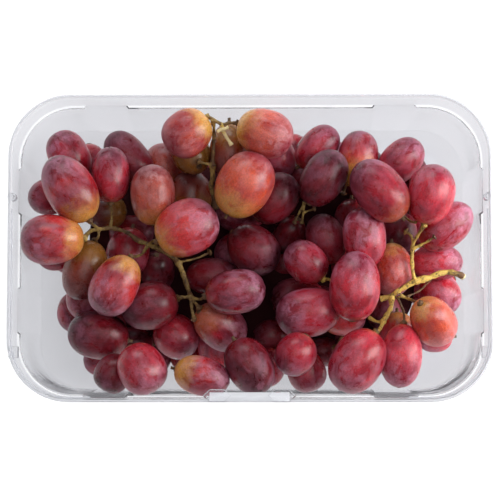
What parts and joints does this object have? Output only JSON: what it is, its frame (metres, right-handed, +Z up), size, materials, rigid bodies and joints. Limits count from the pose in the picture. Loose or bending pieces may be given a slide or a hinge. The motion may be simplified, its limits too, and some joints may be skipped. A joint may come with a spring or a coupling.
{
  "type": "punnet of grapes",
  "caption": "Open clear plastic punnet with rounded corners, a ledge and wall channels, filled with a heap of red grapes whose stems show between them.",
  "frame": {"origin": "middle of the base, on the surface that the punnet stands on", "axes": "+X along the long side to the right in the picture, +Y away from the near side with the two buttons, +Z up out of the open top"},
  "size_m": [0.19, 0.121, 0.075],
  "materials": {
    "clear_plastic": "clear thermoformed sheet, smooth and glossy",
    "grape_skin": "waxy grape skin with a pale bloom, crimson to plum with yellow-green shoulders",
    "stem_brown": "dry olive-brown stem, knobbly",
    "stem_green": "fresh yellow-green stem browning along the top"
  },
  "bodies": {
    "root": {"tray": "clear_plastic", "grapes": "grape_skin", "stem_left": "stem_brown", "stem_far": "stem_brown", "stem_middle": "stem_brown", "stem_right": "stem_green"}
  },
  "joints": []
}
